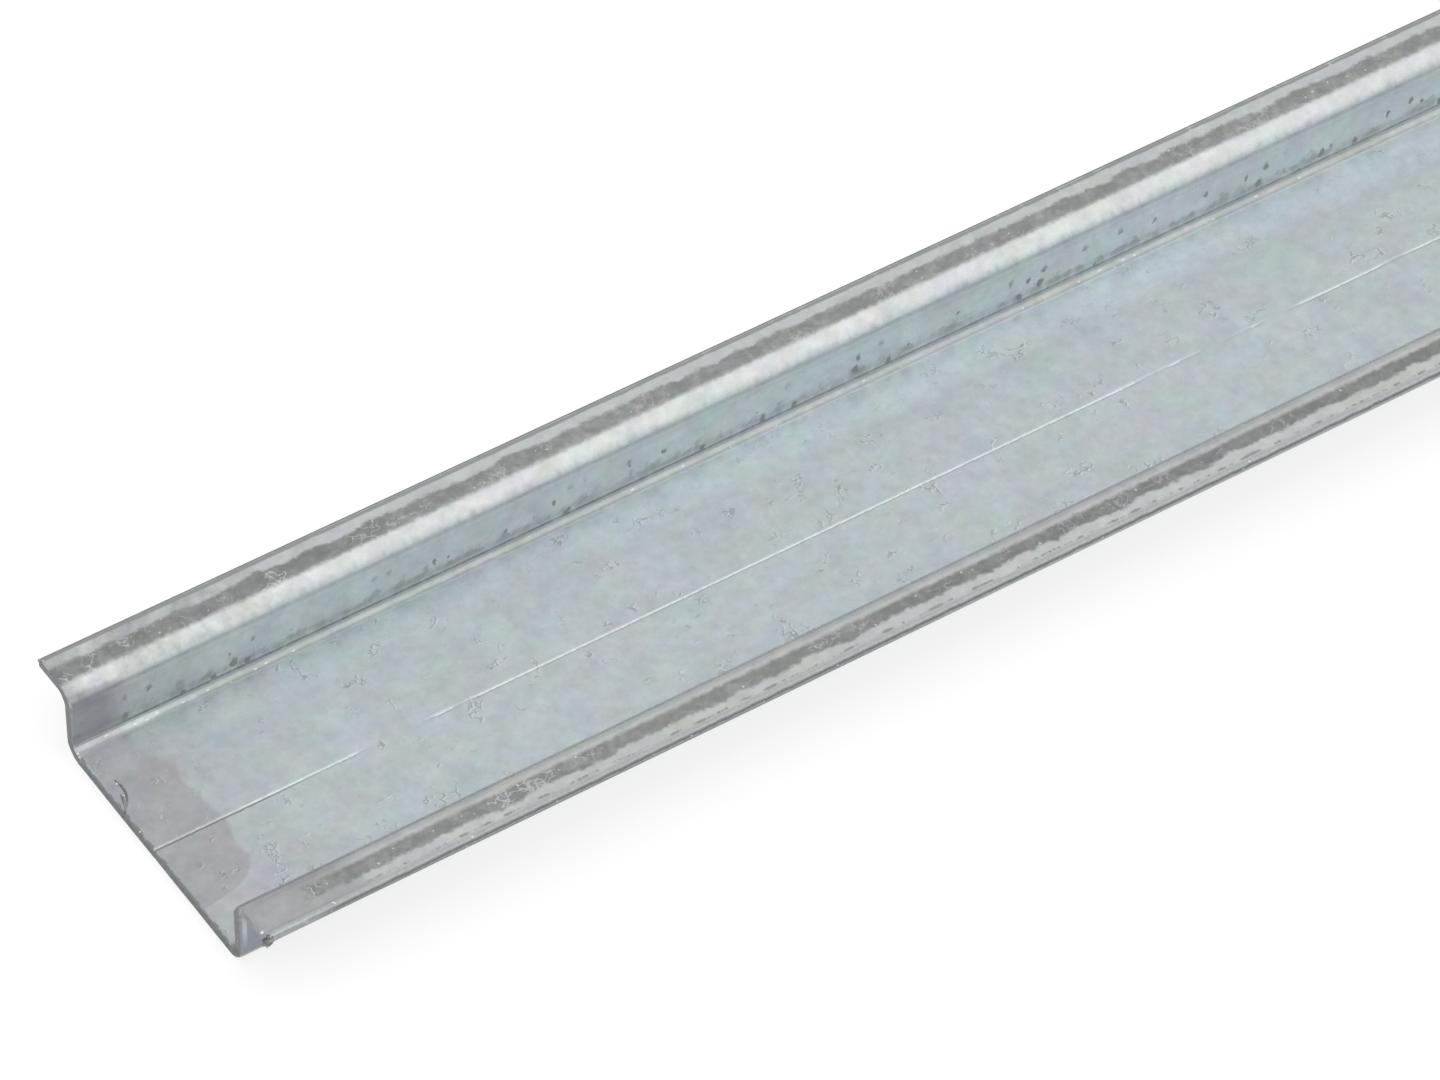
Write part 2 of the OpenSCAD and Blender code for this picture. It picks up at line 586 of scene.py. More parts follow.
def rolled_rail(section, relief, plated, sheared):
    """The rail as one plain mesh object at the origin."""
    # A path along +X turns its section half round, so the section goes in turned the other way
    outline = [(-y, -z, 0.0) for y, z in section_outline(section)]
    sides = [(i, (i + 1) % len(outline)) for i in range(len(outline))]
    wire = bpy.data.meshes.new("rail_section")
    wire.from_pydata(outline, sides, [])
    rail = bpy.data.objects.new("rail_steel", wire)
    bpy.context.scene.collection.objects.link(rail)

    forming = rail.modifiers.new("Roll Forming", "NODES")
    forming.node_group = forming_tree(plated, sheared)
    values = {
        "Length": LENGTH, "Width": WIDTH, "Web Top": section.strip_thickness,
        "Score Width": section.score_width,
    }
    values |= {title: getattr(relief, name) for title, name in titled(relief).items()}
    for item in forming.node_group.interface.items_tree:
        if item.item_type == "SOCKET" and item.in_out == "INPUT" and item.name in values:
            forming[item.identifier] = values[item.name]
    depsgraph = bpy.context.evaluated_depsgraph_get()
    mesh = bpy.data.meshes.new_from_object(rail.evaluated_get(depsgraph), depsgraph=depsgraph)
    rail.modifiers.clear()
    rail.data = mesh
    mesh.name = "rail_steel"
    bpy.data.meshes.remove(wire)
    mesh.set_sharp_from_angle(angle=math.radians(32))
    unroll(mesh)
    return rail


# ---------------------------------------------------------------- finishes


def grain_group():
    """Fine grain drawn out along the rail, and the drawing lines in it; sizes are in millimetres."""
    sheet, given = new_group(
        "Rolled Grain", "ShaderNodeTree", {"Place": "Vector", "Size": 0.3, "Stretch": 4.0},
        {"Grain": "Float", "Scratches": "Float"},
    )
    squeezed = sheet.join(1.0 / given["Stretch"], 1.0, 1.0)
    along = sheet.vector("MULTIPLY", given["Place"], squeezed)
    per_mm = 1.0 / given["Size"]
    fine_lines = sheet.vector("MULTIPLY", given["Place"], (0.04, 1.0, 1.0))
    return sheet.gives(
        Grain=sheet.noise(along, per_mm, 3.0, 0.6),
        Scratches=sheet.noise(fine_lines, per_mm * 1.7, 1.0).ramp(0.56, 0.72),
    )


def speck_group():
    """Scattered specks: cells of one size in millimetres, of which only a share holds a speck."""
    sheet, given = new_group(
        "Specks", "ShaderNodeTree",
        {"Place": "Vector", "Cell": 3.0, "Speck": 0.3, "Share": 0.3, "Ragged": 0.1},
        {"Speck": "Float"},
    )
    cells = sheet.outputs(sheet.node(
        "ShaderNodeTexVoronoi", {"Vector": given["Place"], "Scale": 1.0 / given["Cell"]},
        voronoi_dimensions="2D", feature="F1",
    ))
    ragged = (sheet.noise(given["Place"], 0.9 / given["Speck"]) - 0.5) * given["Ragged"]
    distance = cells["Distance"] * given["Cell"] + ragged
    drawn, drawn_size, _ = sheet.split(cells["Color"])
    radius = given["Speck"] * drawn_size.between(0.35, 1.0)
    return sheet.gives(Speck=(distance / radius).ramp(1.0, 0.5) * (drawn < given["Share"]))


def tarnish_group():
    """A colour clouded over in faint patches, each with a tint of its own."""
    sheet, given = new_group(
        "Tarnish", "ShaderNodeTree",
        {"Place": "Vector", "Colour": "Color", "Patch": 3.0, "Tint": 0.1, "Shade": 0.1},
        {"Colour": "Color", "Cloud": "Float"},
    )
    per_mm = 1.0 / given["Patch"]
    tints = sheet.noise(given["Place"], per_mm, output="Color")
    tints = sheet.vector("SCALE", sheet.vector("SUBTRACT", tints, (0.5, 0.5, 0.5)), given["Tint"])
    shifted = sheet.vector("ADD", given["Place"], (40.0, 13.0, 7.0))
    cloud = sheet.noise(shifted, per_mm * 1.4, 3.0, 0.6)
    shade = (cloud - 0.5) * given["Shade"]
    factor = sheet.vector("ADD", tints, sheet.join(*[shade + 1.0] * 3))
    return sheet.gives(Colour=sheet.vector("MULTIPLY", given["Colour"], factor), Cloud=cloud)


class Spot(Sheet):
    """A finish's sheet, which also knows where a point of the surface lies, in millimetres."""

    def __init__(self, name):
        self.material, sheet = new_sheet(name)
        super().__init__(sheet.tree)
        self.place = self.vector("SCALE", self.value("ShaderNodeTexCoord", output="Object"), 1 / MM)
        self.x, self.y, self.z = self.split(self.place)
        # From the middle line outwards, and from the nearer cut end inwards
        self.aside = abs(self.y)
        self.end = LENGTH / 2 / MM - abs(self.x)
        # Both flanges and walls told apart: 1 on the +Y one
        self.plus = self.y > 0.0
        self.unrolled = self.join(self.x, self.y + self.z)

    def mottle(self, per_mm, detail=2.0, roughness=0.5, at=None):
        """A noise over the surface, or over another place that is given."""
        return self.noise(at or self.place, per_mm, detail, roughness)

    def sway(self, *numbers, **place):
        """The same noise about zero."""
        return self.mottle(*numbers, **place) - 0.5

    def placed(self, group, **inputs):
        """A shader group's outputs, at the surface's own place unless another is given."""
        inputs = {"Place": self.place, **inputs}
        return self.outputs(self.node("ShaderNodeGroup", inputs, node_tree=group))

    def specks(self, group, place, **inputs):
        """A mask of scattered specks."""
        return self.placed(group, Place=place, **inputs)["Speck"]

    def finished(self, base, metallic, roughness, relief):
        """The material, with its relief as bump."""
        bump = self.value("ShaderNodeBump", {"Height": relief, "Strength": 1.0, "Distance": MM})
        shader = self.value(
            "ShaderNodeBsdfPrincipled",
            {"Base Color": base, "Metallic": metallic, "Roughness": roughness, "Normal": bump},
        )
        self.node("ShaderNodeOutputMaterial", {"Surface": shader})
        return self.material


class Faces:
    """Which face of the rail a point lies on, as masks."""

    def __init__(self, spot, section):
        z, aside = spot.z, spot.aside
        wall_face = (section.channel_width / 2 - section.strip_thickness) / MM
        web_top = section.strip_thickness / MM
        web_edge = wall_face - section.web_bend / MM
        self.wall = (
            abs(aside - wall_face).ramp(0.3, 0.15) * z.ramp(6.4, 5.8)
            * z.ramp(web_top + 0.55, web_top + 0.62)
        )
        self.low = z.ramp(1.3, 1.1)
        self.web = aside.ramp(web_edge, web_edge - 0.3) * self.low
        above = z.ramp(0.5, 0.8)
        self.web_inside = self.web * above
        self.low_inside = self.low * above
        # The channel's faces up to the bends at the flanges
        self.channel = aside.ramp(wall_face + 0.9, wall_face + 0.1) * z.ramp(6.9, 6.2)
        # The bends at the flanges and, narrower, those at the web
        self.upper_bend = aside.ramp(14.5, 13.6) * z.ramp(6.3, 7.1)
        self.corner = (
            aside.ramp(web_edge + 0.15, web_edge + 0.3) * z.ramp(1.42, 1.3)
            * aside.ramp(wall_face + 0.3, wall_face + 0.15) * z.ramp(0.6, 0.9)
        )
        off_outer = aside - section.channel_width / 2 / MM
        self.outer = abs(off_outer).ramp(0.2, 0.1) * z.ramp(5.8, 5.3)


def stripe_masks(spot, finish):
    """The stripe that the rolls rubbed dark on each flange, and how its edges fray."""
    end, plus = spot.end, spot.plus
    frayed = spot.sway(1.5, 4.0, 0.65)
    lobes = spot.sway(1.0, at=spot.join(spot.x * 0.24, 0.0, plus * 9.0))
    # The -Y stripe lies a little further out
    inwards = end.ramp(65.0, 45.0, 0.5, 0.6)
    past_inner = spot.aside - finish.stripe_inner / MM + plus * inwards + frayed * 0.6
    narrowed = spot.most(end.ramp(25.0, 70.0, 0.0, 0.1), plus * 0.3)
    past_outer = spot.aside - finish.stripe_outer / MM + narrowed - lobes * 1.7 + frayed * 1.0
    # It starts further from the cut end too
    ragged = plus.between(5.0, 2.0)
    past_start = end - plus.between(5.0, -1.2) + frayed * ragged
    stripe = (
        past_inner.ramp(-0.32, 0.2) * past_outer.ramp(0.24, -0.2) * past_start.ramp(-1.0, 1.0)
        * spot.z.ramp(6.9, 7.1)
    )
    # Near the cut the +Y one breaks up
    broken = spot.mottle(0.75, 3.0, 0.6).ramp(0.6, 0.4) * end.ramp(26.0, 12.0, 0.0, 0.2)
    return stripe * (1.0 - broken * plus), frayed


def edge_line_mask(spot):
    """A thin rubbed line beside each slit edge, broken along its length on the -Y side."""
    plus = spot.plus
    along = spot.join(spot.x, plus * 7.0)
    closed = spot.end.ramp(70.0, 30.0, 0.16, 0.22)
    dashes = spot.mottle(0.45, 5.0, 0.72, at=along) + plus * closed
    wander = spot.sway(0.3, 4.0, 0.6, at=along)
    # The +Y one leans outwards by the cut
    middle = plus * spot.end.ramp(3.0, 14.0, 0.14, 0.05) + 16.92
    off_line = abs(spot.aside - middle + wander * plus.between(0.5, 0.28))
    line = (off_line / dashes.ramp(0.48, 0.66, 0.09, 0.22)).ramp(1.1, 0.6)
    starts = spot.most(plus, spot.end.ramp(6.0, 12.0, 0.2, 1.0))
    return line * dashes.ramp(0.47, 0.55) * spot.z.ramp(7.3, 7.4) * starts


def grease_mask(spot, specks, on_wall):
    """Grease smeared up the walls from the corner, with drops above it."""
    z = spot.z
    spread = spot.join(spot.x - z * 0.15, z * 0.7)
    smeared = spot.mottle(0.8, 4.0, 0.6, at=spread)
    smear = (smeared + (2.5 - z) * 0.13).ramp(0.46, 0.6) * z.ramp(2.0, 2.35, 0.6, 1.0) * 0.42
    # A thin film of it lies all along the corner
    film = (
        abs(z - 1.67).ramp(0.2, 0.09) * smeared.ramp(0.3, 0.6, 0.55, 0.95)
        * spot.end.ramp(50.0, 85.0, 1.0, 0.85)
    )
    drops = spot.specks(specks, spread, Cell=1.9, Speck=0.42, Share=0.65, Ragged=0.9)
    grease = spot.most(smear, film, drops * z.ramp(5.3, 3.8, 0.0, 0.8))
    return grease * spot.end.ramp(2.5, 6.0, 0.35, 1.0) * on_wall


def nick_masks(spot, on_web):
    """Curled nicks and smudges in loose clusters on the web, and a painted highlight beside each nick
    where its lip would catch the light.
    """
    where = spot.vector("ADD", spot.unrolled, (3.0, 1.0, 0.0))
    crowd = spot.mottle(0.09, at=where).ramp(0.38, 0.52, 0.15, 1.0)
    struck = spot.mottle(0.42, at=where).ramp(0.57, 0.65) * on_web * crowd
    smudges = spot.mottle(1.5, at=where).ramp(0.55, 0.72, 0.0, 0.6)
    nicks = spot.most(spot.curls(where, 0.75, 0.028), smudges)
    aslant = spot.vector("ADD", where, (-0.13, 0.12, 0.0))
    lip_highlights = spot.math("SUBTRACT", spot.curls(aslant, 0.75, 0.028), nicks, clamp=True)
    return nicks * struck, lip_highlights * struck


def clamp_mask(spot):
    """Where the shear's clamp held the cut end."""
    y = spot.y
    # The clamp's corner is round and stops short of the -Y wall
    corner = spot.math("DIVIDE", -4.6 - y, 2.9, clamp=True)
    corner = spot.math("SQRT", 1.0 - corner * corner)
    # Out on the -Y flange it reaches far in again
    reach = (
        y.ramp(5.0, 12.4, 6.0, 4.0) * corner + spot.sway(0.28, 3.0) * 2.2
        + y.ramp(-12.2, -12.8, 0.0, 9.5)
    )
    inside = (reach - spot.end) / spot.aside.ramp(5.0, 12.0, 0.3, 1.9)
    # The +Y flange stood clear of it
    held = 1.0 - y.ramp(12.8, 13.2) * spot.z.ramp(6.2, 6.7)
    return inside.ramp(-1.0, 1.0) * held


def zinc_colour(spot, faces, finish):
    """The plating's colour before tarnish: bluish in the channel, plain on the flanges."""
    channel = spot.mix(faces.wall, finish.channel_zinc, finish.lit_wall_zinc)
    # Greyer towards the cut ends, the walls less so
    greyed = spot.end.ramp(16.0, 6.0, 0.0, 0.45) * faces.wall.between(1.0, 0.5)
    channel = spot.mix(greyed, channel, finish.end_zinc)
    base = spot.mix(faces.channel, finish.flange_zinc, channel)
    # Duller where the shear's clamp held it
    clamped = clamp_mask(spot)
    base = spot.mix(clamped * 0.9, base, finish.end_zinc)
    off_bend = spot.most(spot.y.ramp(-12.8, -12.2), spot.y.ramp(-13.8, -14.2))
    base = spot.tint(base, (clamped * off_bend).between(1.0, 0.88))

    # The outer faces of the walls are painted dark as shade under the flanges, with a painted
    # reflection streak beside the cut
    reflection_streak = abs(spot.end - 0.42).ramp(0.3, 0.1) * spot.z.ramp(1.8, 4.0)
    outer = spot.mix(reflection_streak, finish.shaded_outer_zinc, finish.outer_reflection)
    return spot.mix(faces.outer, base, outer)


def face_shades(spot, faces):
    """How much lighter or darker than plain each face is painted, as one number; much of it is painted
    light and shade.
    """
    z, aside, end, plus = spot.z, spot.aside, spot.end, spot.plus
    level = z.ramp(6.4, 6.8)
    plus_flange = level * plus
    minus_flange = level * (1.0 - plus)

    # The web is painted lighter where it runs up to the +Y wall, most of all at the cut end, as painted
    # light
    near_wall = spot.math("DIVIDE", aside - 7.4, 4.2, clamp=True)
    lift = end.ramp(20.0, 80.0, 0.312, 0.515) + end.ramp(4.8, 2.6, 0.0, 0.4)
    painted_web_light = near_wall * lift * aside.ramp(12.0, 11.8) * faces.low_inside * plus
    # It is painted darker again where the bend at the web starts, as painted shade, and that bend gets
    # a painted highlight by the cut
    drift = aside + spot.sway(0.5, 3.0, at=spot.join(spot.x)) * 0.3
    bend_start_shade = (
        drift.ramp(11.5, 11.92) * drift.ramp(12.22, 12.0) * faces.low
        * end.ramp(40.0, 85.0, -0.28, -0.19)
    )
    bend_end_highlight = faces.corner * end.ramp(9.0, 6.0, 0.0, 0.16) * plus
    above_bend = (
        z.ramp(1.26, 1.4) * z.ramp(1.68, 1.52) * faces.channel * end.ramp(13.0, 4.0, 0.0, 0.3) * plus
    )
    # The walls are painted lighter just under the bends, as painted light, and darker low down
    under_bend = z.ramp(5.5, 6.0) * z.ramp(6.65, 6.35) * faces.channel * 0.17
    low_wall = z.ramp(5.0, 4.0, 0.0, -0.06)
    for top, bottom, dulling in ((3.6, 3.0, -0.045), (2.85, 2.5, -0.1)):
        low_wall += z.ramp(top, bottom, 0.0, dulling)
    low_wall = low_wall * z.ramp(1.95, 2.2, 0.2, 1.0) * faces.wall
    # The +Y bend gets a painted highlight; the -Y one gets painted shade along its crown
    plus_bend_highlight = faces.upper_bend * plus * 0.07
    minus_bend_shading = (
        aside.ramp(13.35, 13.1) * 0.07 - aside.ramp(13.3, 13.7) * aside.ramp(14.45, 13.85) * 0.17
    )
    further = end.ramp(22.0, 32.0, 0.0, 0.07) * aside.ramp(13.9, 13.5)
    minus_bend_shading = (minus_bend_shading + further) * minus_flange
    # The +Y flange is duller near the cut end, and both are darker towards their slit edges
    dull_end = end.ramp(24.0, 7.0, 0.0, -0.16) * end.ramp(3.5, 5.5) * plus_flange
    dull_end += end.ramp(2.6, 0.6, 0.0, -0.24) * plus_flange
    soiled = spot.sway(0.6, 4.0, 0.65) * end.ramp(30.0, 12.0, 0.0, 0.9) * plus_flange
    plus_edge = aside.ramp(16.85, 17.2, 0.0, -0.04) * plus_flange
    minus_edge = aside.ramp(16.9, 17.2, -0.02, -0.2) * minus_flange
    return sum((
        painted_web_light, bend_start_shade, bend_end_highlight, above_bend, under_bend, low_wall,
        plus_bend_highlight, minus_bend_shading, dull_end, soiled, plus_edge, minus_edge,
    ), start=1.0)


def plated_material(finish, section, grain, specks, tarnish):
    """Zinc plating: passivated in the channel, burnished in stripes on the flanges."""
    spot = Spot("zinc_plating")
    end = spot.end
    faces = Faces(spot, section)
    rolled = spot.placed(grain, Size=0.35, Stretch=2.5)

    base = spot.tint(zinc_colour(spot, faces, finish), face_shades(spot, faces))
    base = spot.placed(tarnish, Colour=base, Patch=3.4, Tint=0.16, Shade=0.26)["Colour"]
    mottled = spot.placed(tarnish, Colour=base, Patch=1.3, Tint=0.08, Shade=0.32)
    base = mottled["Colour"]

    # The bends are patchier, and those at the flanges brushed across where they meet the walls
    bends = spot.most(faces.upper_bend, faces.corner)
    patchy = spot.sway(0.55, 4.0, 0.65) * bends * 0.42
    across = spot.join(spot.x, spot.z * 0.25)
    brushed = (
        spot.mottle(1.3, 3.0, at=across).ramp(0.45, 0.65, 0.0, -0.14) * spot.z.ramp(6.1, 6.5)
        * spot.z.ramp(7.0, 6.6)
    )
    base = spot.tint(base, 1.0 + patchy + brushed)
    # Dust has settled in the bends at the web
    settled = faces.corner + spot.sway(2.6, 3.0, 0.65) * 0.9
    settled = settled.ramp(0.3, 0.8) * faces.corner.ramp(0.0, 0.3) * end.ramp(6.0, 14.0, 0.2, 1.0)
    dusty = spot.mix(settled, WHITE, DUST)
    base = spot.vector("MULTIPLY", base, dusty)

    stripe, frayed = stripe_masks(spot, finish)
    worn = spot.placed(tarnish, Colour=finish.burnish, Patch=1.0, Tint=0.25, Shade=0.9)["Colour"]
    blots = spot.mottle(0.6, 4.0, 0.7).ramp(0.42, 0.58)
    stripe_colour = spot.mix(blots * 0.6, worn, finish.grime)
    # The -Y stripe darkens further in, and the +Y one towards the cut
    minus_tint = end.ramp(50.0, 70.0, 0.94, 0.8)
    plus_tint = end.ramp(20.0, 40.0, 0.8, 1.0)
    darker = spot.value("ShaderNodeMix", {0: spot.plus, 2: minus_tint, 3: plus_tint})
    stripe_colour = spot.tint(stripe_colour, darker)
    base = spot.mix(stripe * 0.95, base, stripe_colour)
    # Bright curls and flecks in the stripes, and flecks in the corners
    by_cut = spot.mottle(0.4).ramp(0.5, 0.6) * end.ramp(19.0, 13.0, 0.0, 0.6) * spot.plus
    gathered = spot.most(spot.mottle(0.25, 1.0).ramp(0.54, 0.62, 0.0, 0.7), by_cut)
    curls = spot.curls(spot.unrolled, 0.9, 0.03) * stripe * gathered * end.ramp(35.0, 15.0, 0.4, 1.0)
    flecks = spot.specks(specks, spot.unrolled, Cell=0.9, Speck=0.11, Share=0.13, Ragged=0.45)
    drawn_out = spot.vector("MULTIPLY", spot.unrolled, (0.7, 1.0, 1.0))
    streaks = spot.specks(specks, drawn_out, Cell=0.8, Speck=0.16, Share=0.35, Ragged=0.3)
    flecks = spot.most(curls, flecks * stripe) * 0.65
    bright = spot.most(flecks, streaks * faces.corner * 0.5)
    base = spot.mix(bright, base, finish.score)
    base = spot.mix(edge_line_mask(spot) * 0.95, base, finish.burnish)

    grease = grease_mask(spot, specks, faces.wall)
    nicks, lip_highlights = nick_masks(spot, faces.web)
    # Darker where the sliver is rooted
    root = spot.vector("SUBTRACT", spot.place, (-LENGTH / 2 / MM, SLIVER_ROOT, 1.0))
    root = spot.vector("LENGTH", root).ramp(0.5, 0.1, 0.0, 0.4)
    dirt = spot.most(grease, nicks * 0.5, root)
    base = spot.mix(dirt, base, finish.grime)
    # Painted highlights on the nicks' lips
    base = spot.mix(lip_highlights * 0.3, base, finish.score)
    # The shear smeared the web's rim
    smeared = end + spot.sway(1.0, 4.0, 0.6) * 0.75
    smeared = smeared.ramp(0.21, 0.1) * faces.web_inside * 0.85
    base = spot.mix(smeared, base, finish.cut_shade)

    # The scored line gets a painted highlight on one flank and painted shade on the other, until it
    # fades out
    shows = spot.math("SUBTRACT", 1.0, score_break(spot, spot.x * MM), clamp=True)
    shows *= faces.web_inside
    gritty = spot.mottle(2.5, 2.0).ramp(0.35, 0.6, 0.3, 0.7)
    # Near the cut it wavers
    waver = spot.sway(1.1, 3.0, at=spot.join(spot.x)) * end.ramp(16.0, 8.0, 0.0, 0.25)
    waver = spot.y + waver
    score_highlight = abs(waver - 0.01).ramp(0.085, 0.035) * shows * gritty * end.ramp(5.0, 12.0, 0.45, 1.0)
    shaded = abs(waver + 0.19).ramp(0.11, 0.05) * shows * end.ramp(9.0, 16.0, 0.9, 0.15)
    base = spot.mix(shaded, base, finish.grime)
    base = spot.mix(score_highlight, base, finish.score)

    rough = rolled["Grain"].ramp(0.3, 0.7, finish.roughness - 0.03, finish.roughness + 0.05)
    rough = rough + stripe * 0.14 + dirt * 0.2 - faces.upper_bend * 0.04
    relief = (
        rolled["Grain"] * 0.001 + mottled["Cloud"] * 0.005 - nicks * 0.006
        - rolled["Scratches"] * 0.0008 + frayed * stripe * 0.03
    )
    return spot.finished(base, finish.metallic - dirt * 0.35, rough, relief)


def sheared_material(finish, grain, specks, tarnish):
    """Bare steel where the strip was slit and the rail cut off."""
    spot = Spot("sheared_steel")
    z, end, plus = spot.z, spot.end, spot.plus
    torn = spot.placed(
        grain, Place=spot.vector("MULTIPLY", spot.place, (1.0, 1.0, 0.3)), Size=0.25, Stretch=1.0,
    )
    patched = spot.placed(
        tarnish, Colour=finish.cut_steel, Patch=1.2, Tint=0.08, Shade=0.5,
    )["Colour"]
    # Painted shade: darkest along the web, which stands on the floor
    low_down = z.ramp(1.0, 2.5, 0.95, 0.5)
    base = spot.mix(torn["Grain"] * low_down, patched, finish.cut_shade)
    on_edge = end.ramp(0.02, 0.3)
    # The cut faces are darker than the slit edges, except that of the -Y flange
    minus_flange = z.ramp(6.0, 6.4) * spot.y.ramp(-13.0, -13.6)
    base = spot.tint(base, 1.0 - (1.0 - on_edge) * minus_flange.between(0.34, 0.0))
    across = spot.join(spot.x + spot.y, z)
    glints = spot.specks(specks, across, Cell=0.7, Speck=0.1, Share=0.12, Ragged=0.25)
    # The slitting knives rubbed a dark line along each slit edge, and tore the rest off clean
    wander = spot.sway(0.8, 3.0, at=spot.join(spot.x, plus))
    line_height = end.ramp(12.0, 20.0, 7.0, 7.06)
    off_line = abs(z + wander * 0.3 - plus * 0.35 - line_height)
    clean = off_line.ramp(0.16, 0.28) * on_edge
    base = spot.mix(clean * 0.7, base, finish.flange_zinc)
    # The rounded top is darker again, and below the line the first stretch of the -Y edge
    rounded = z.ramp(7.34, 7.46) * on_edge
    below = z.ramp(6.85, 6.7) * end.ramp(75.0, 50.0) * on_edge * (1.0 - plus)
    base = spot.tint(base, rounded.between(1.0, 0.79) - below * 0.32)
    fresh_tip = end.ramp(6.5, 3.5) * on_edge * z.ramp(7.42, 7.3) * minus_flange * 0.3
    # The +Y edge's brink is dark
    brink = z.ramp(7.46, 7.4) * z.ramp(7.2, 7.3) * on_edge * plus * 0.4
    base = spot.tint(base, fresh_tip - brink + 1.0)
    # It comes and goes by the -Y flange's cut end
    starts = spot.most((end + wander * 6.0).ramp(5.5, 7.5, 0.1, 1.0), plus)
    dark = off_line.ramp(0.2, 0.08) * on_edge * starts * 0.85
    base = spot.mix(dark, base, finish.grime)
    base = spot.mix(glints * 0.7, base, finish.score)

    # Torn scraps are greenish, and the crumbs beside them white as painted glints
    scrap = spot.value(
        "ShaderNodeAttribute", output="Fac", attribute_type="GEOMETRY", attribute_name=TORN,
    )
    scrap_colour = spot.mix(
        spot.mottle(2.2, 3.0, 0.65).ramp(0.42, 0.6), finish.scrap, finish.cut_steel,
    )
    base = spot.mix(scrap > 0.5, base, scrap_colour)
    base = spot.mix(scrap > 1.5, base, finish.score)
    rough = torn["Grain"].ramp(0.3, 0.7, 0.42, 0.62)
    return spot.finished(base, finish.metallic, rough, torn["Grain"] * 0.02)


# ---------------------------------------------------------------- studio


def seen_as_background(sheet):
    """1 for rays from the camera, off gloss or through glass, which see the background as white."""
    rays = sheet.outputs(sheet.node("ShaderNodeLightPath"))
    return sheet.most(rays["Is Camera Ray"], rays["Is Glossy Ray"], rays["Is Transmission Ray"])


def white_world(studio):
    """A white surround, with its own strength as the light that falls on the floor."""
    world = bpy.data.worlds.new("studio")
    world.use_nodes = True
    world.node_tree.nodes.clear()
    sheet = Sheet(world.node_tree)
    strength = seen_as_background(sheet).between(studio.fill, 1.0)
    light = sheet.value("ShaderNodeBackground", {"Color": WHITE, "Strength": strength})
    sheet.node("ShaderNodeOutputWorld", {"Surface": light})
    bpy.context.scene.world = world


def pale_floor(studio):
    """A white floor under the rail that keeps a soft share of its shadow."""
    reach = 12.0
    corners = [(-reach, -reach, 0), (reach, -reach, 0), (reach, reach, 0), (-reach, reach, 0)]
    mesh = bpy.data.meshes.new("floor")
    mesh.from_pydata(corners, [], [(0, 1, 2, 3)])
    floor = bpy.data.objects.new("floor", mesh)
    bpy.context.scene.collection.objects.link(floor)

    material, sheet = new_sheet("floor_paper")
    shaded = 1.0 - studio.floor_glow
    paper = sheet.value("ShaderNodeBsdfDiffuse", {"Color": (shaded, shaded, shaded)})
    glow = seen_as_background(sheet) * studio.floor_glow
    lit = sheet.value("ShaderNodeEmission", {"Color": WHITE, "Strength": glow})
    both = sheet.value("ShaderNodeAddShader", {0: paper, 1: lit})
    sheet.node("ShaderNodeOutputMaterial", {"Surface": both})
    mesh.materials.append(material)


def softbox(studio, aim):
    """A square area light off to one side of the aim."""
    light = bpy.data.lights.new("softbox", "AREA")
    light.shape = "SQUARE"
    light.size = studio.softbox_width
    light.energy = studio.softbox_glow * math.pi * studio.softbox_width**2
    lamp = bpy.data.objects.new("softbox", light)
    direction = Vector(TOWARDS_SOFTBOX).normalized()
    lamp.location = aim + direction * studio.softbox_distance
    lamp.rotation_mode = "QUATERNION"
    lamp.rotation_quaternion = direction.to_track_quat("Z", "Y")
    lamp.visible_camera = False
    bpy.context.scene.collection.objects.link(lamp)


def product_camera(studio, aim):
    """The camera, turned by azimuth, elevation and roll about the point that it aims at."""
    flat = math.cos(studio.elevation)
    forward = Vector(
        (math.sin(studio.azimuth) * flat, math.cos(studio.azimuth) * flat, -math.sin(studio.elevation))
    )
    level = forward.cross(Vector((0.0, 0.0, 1.0))).normalized()
    upright = level.cross(forward)
    right = level * math.cos(studio.roll) + upright * math.sin(studio.roll)
    up = right.cross(forward)
    turn = Matrix((right, up, -forward)).transposed()

    camera = bpy.data.cameras.new("camera")
    camera.lens = studio.lens
    camera.sensor_width = 36.0
    camera.clip_start = 0.01
    camera.clip_end = 100.0
    holder = bpy.data.objects.new("camera", camera)
    holder.matrix_world = Matrix.Translation(aim - forward * studio.distance) @ turn.to_4x4()
    bpy.context.scene.collection.objects.link(holder)
    bpy.context.scene.camera = holder


# ---------------------------------------------------------------- operators and panel


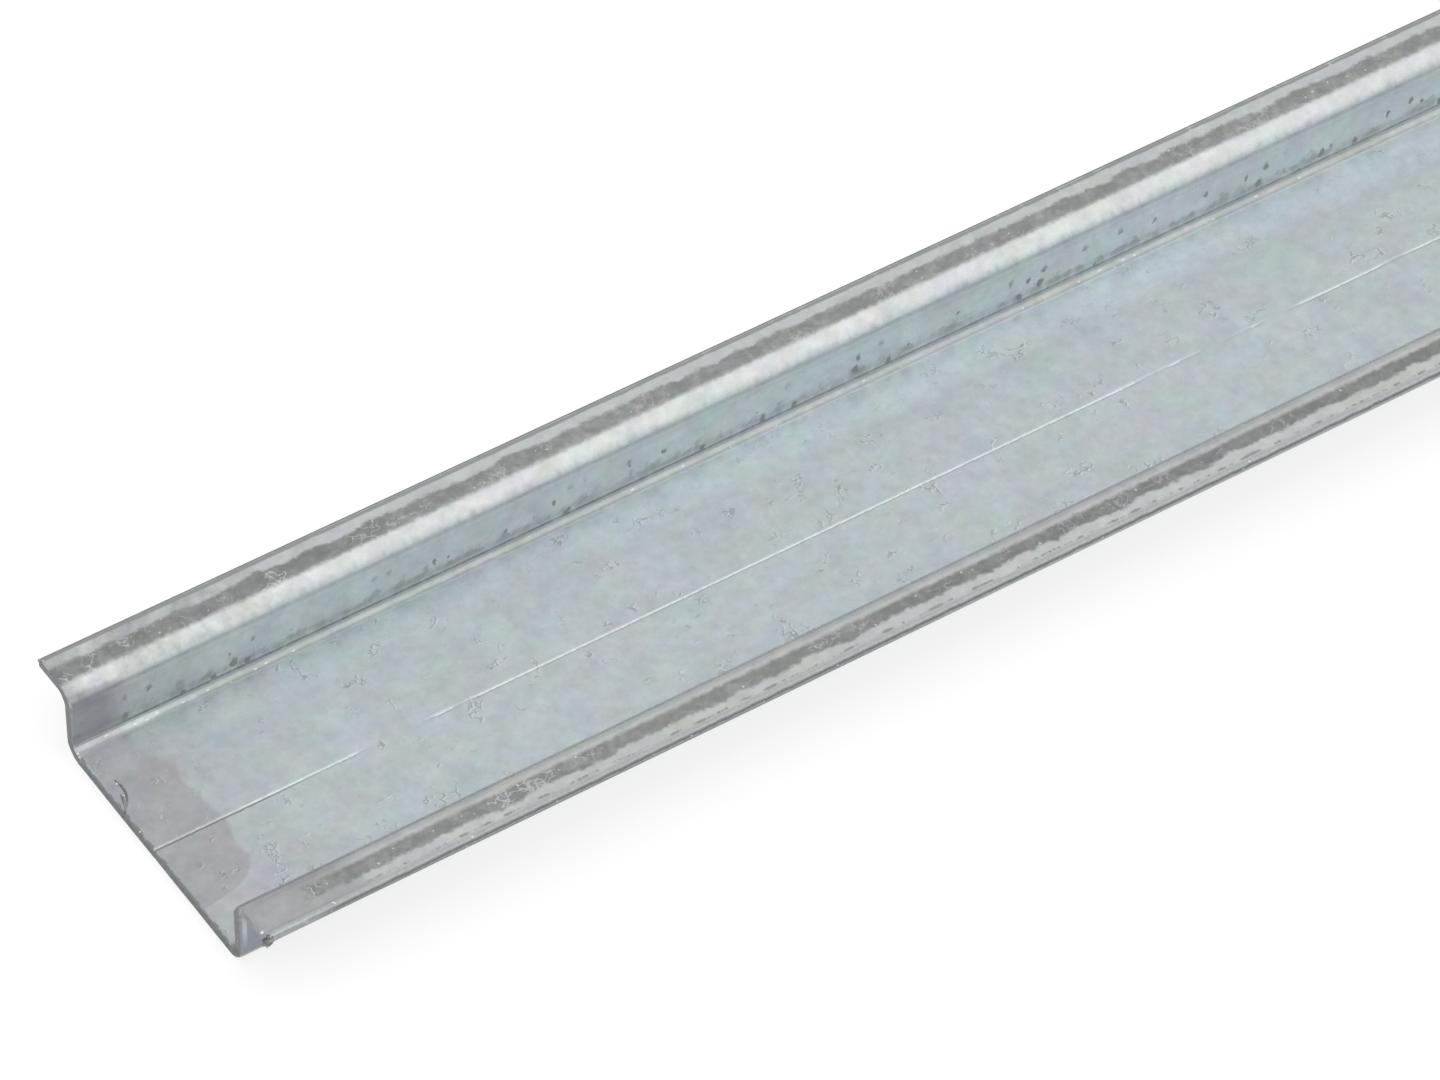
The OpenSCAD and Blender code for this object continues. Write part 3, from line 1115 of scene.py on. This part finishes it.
class RAIL_OT_build_rail(bpy.types.Operator):
    """Build the rail with its plating, sheared edges, burrs and scored line"""

    bl_idname = "rail.build_rail"
    bl_label = "Build Rail"
    bl_options = {"REGISTER", "UNDO"}

    def execute(self, context):
        scene = context.scene
        effects = grain_group(), speck_group(), tarnish_group()
        plated = plated_material(scene.rail_finish, scene.rail_section, *effects)
        sheared = sheared_material(scene.rail_finish, *effects)
        rail = rolled_rail(scene.rail_section, scene.rail_relief, plated, sheared)
        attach(rail, "root")
        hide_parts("rail")
        return {"FINISHED"}


class RAIL_OT_build_studio(bpy.types.Operator):
    """Build the pale floor, the soft light and the camera"""

    bl_idname = "rail.build_studio"
    bl_label = "Build Studio"
    bl_options = {"REGISTER", "UNDO"}

    def execute(self, context):
        studio = context.scene.rail_studio
        web_top = context.scene.rail_section.strip_thickness
        aim = Vector((CAD_LOW.x + studio.aim_in, studio.aim_aside, web_top))
        white_world(studio)
        pale_floor(studio)
        softbox(studio, aim)
        product_camera(studio, aim)
        context.scene.view_settings.view_transform = "Standard"
        return {"FINISHED"}


class RAIL_PT_panel(bpy.types.Panel):
    bl_label = "Top-hat Rail"
    bl_idname = "RAIL_PT_panel"
    bl_space_type = "VIEW_3D"
    bl_region_type = "UI"
    bl_category = "Rail"

    def draw(self, context):
        for group_name in GROUPS:
            group = getattr(context.scene, group_name)
            box = self.layout.box()
            box.label(text=group_name.removeprefix("rail_").title())
            for name in group.__annotations__:
                box.prop(group, name)
        self.layout.operator(RAIL_OT_build_rail.bl_idname)
        self.layout.operator(RAIL_OT_build_studio.bl_idname)


GROUPS = {
    "rail_section": RailSection,
    "rail_relief": RailRelief,
    "rail_finish": RailFinish,
    "rail_studio": Studio,
}
CLASSES = (*GROUPS.values(), RAIL_OT_build_rail, RAIL_OT_build_studio, RAIL_PT_panel)


def register():
    for cls in CLASSES:
        bpy.utils.register_class(cls)
    for name, group in GROUPS.items():
        setattr(bpy.types.Scene, name, PointerProperty(type=group))


def unregister():
    for name in GROUPS:
        delattr(bpy.types.Scene, name)
    for cls in reversed(CLASSES):
        bpy.utils.unregister_class(cls)


def main():
    register()
    bpy.ops.rail.build_studio()
    bpy.ops.rail.build_rail()


if __name__ == "__main__":
    main()
